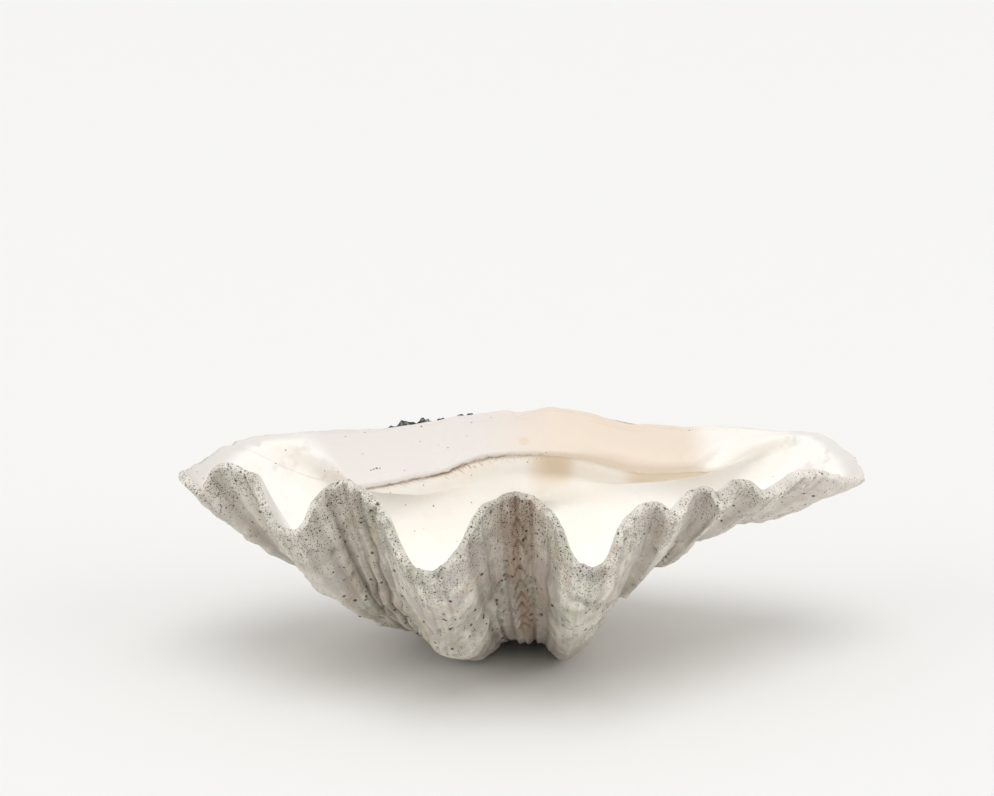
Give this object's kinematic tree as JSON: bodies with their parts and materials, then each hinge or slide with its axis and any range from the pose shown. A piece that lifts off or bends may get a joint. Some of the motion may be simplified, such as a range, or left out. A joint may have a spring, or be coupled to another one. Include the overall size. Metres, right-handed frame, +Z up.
{
  "type": "giant clam shell",
  "caption": "Single valve of a giant clam with deep radial folds, a wavy free margin and a thick hinge plate, lying hollow side up.",
  "frame": {"origin": "middle of the bounding box, on the surface the valve rests on", "axes": "+X along the hinge line, -Y towards the free margin, +Z up out of the hollow"},
  "size_m": [0.3636, 0.2258, 0.1174],
  "materials": {
    "shell": "matt chalky grey-white outside with pits, creamy porcelain-like inside, brown stain under the hinge plate"
  },
  "bodies": {
    "root": {"valve": "shell"}
  },
  "joints": []
}
